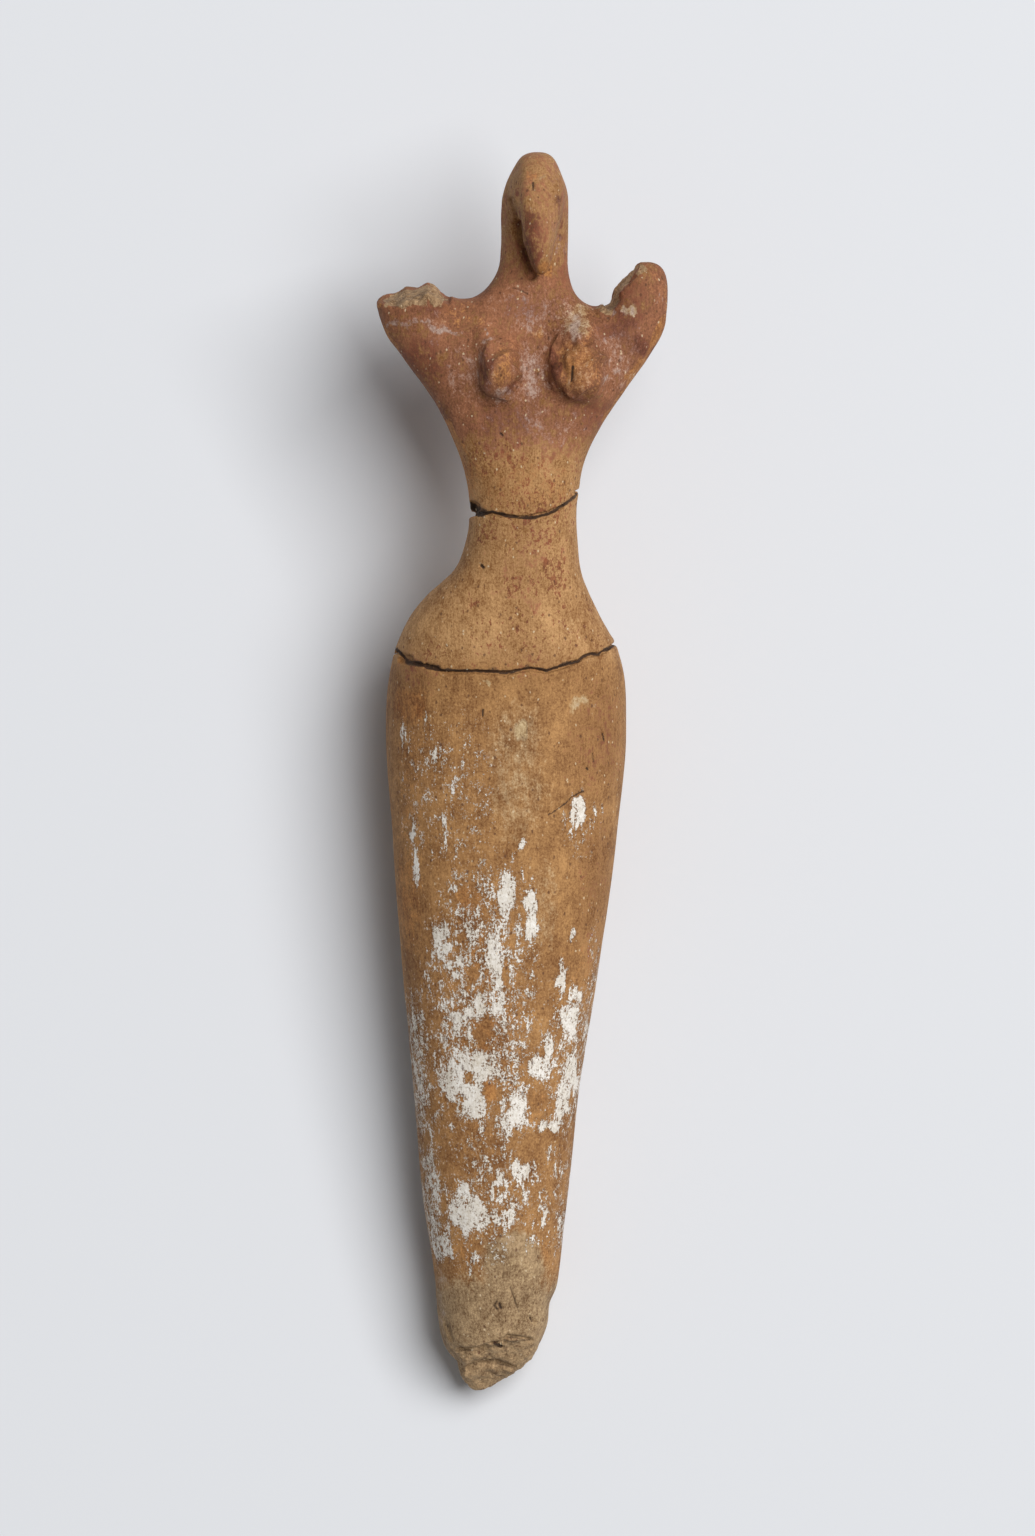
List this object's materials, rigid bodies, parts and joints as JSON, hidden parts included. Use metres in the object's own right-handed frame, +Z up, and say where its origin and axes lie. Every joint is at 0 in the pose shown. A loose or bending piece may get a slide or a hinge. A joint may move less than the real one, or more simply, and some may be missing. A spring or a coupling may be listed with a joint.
{
  "type": "female figure",
  "caption": "Hand-modelled fired-clay female figure with a beak face, broken arms, a tapering lower body and a broken foot, lying on its back.",
  "frame": {"origin": "centre of the bounding box's underside, on the surface that the figure lies on", "axes": "+Y along the figure towards the crown of the head, +Z up out of the face and the breasts, +X towards the viewer's right as the face is looked at"},
  "size_m": [0.0704, 0.2996, 0.0642],
  "materials": {
    "fired_clay": "matt fired clay with worn red-brown slip above the waist and flaking white paint below the hips"
  },
  "bodies": {
    "root": {"female_figure": "fired_clay"}
  },
  "joints": []
}
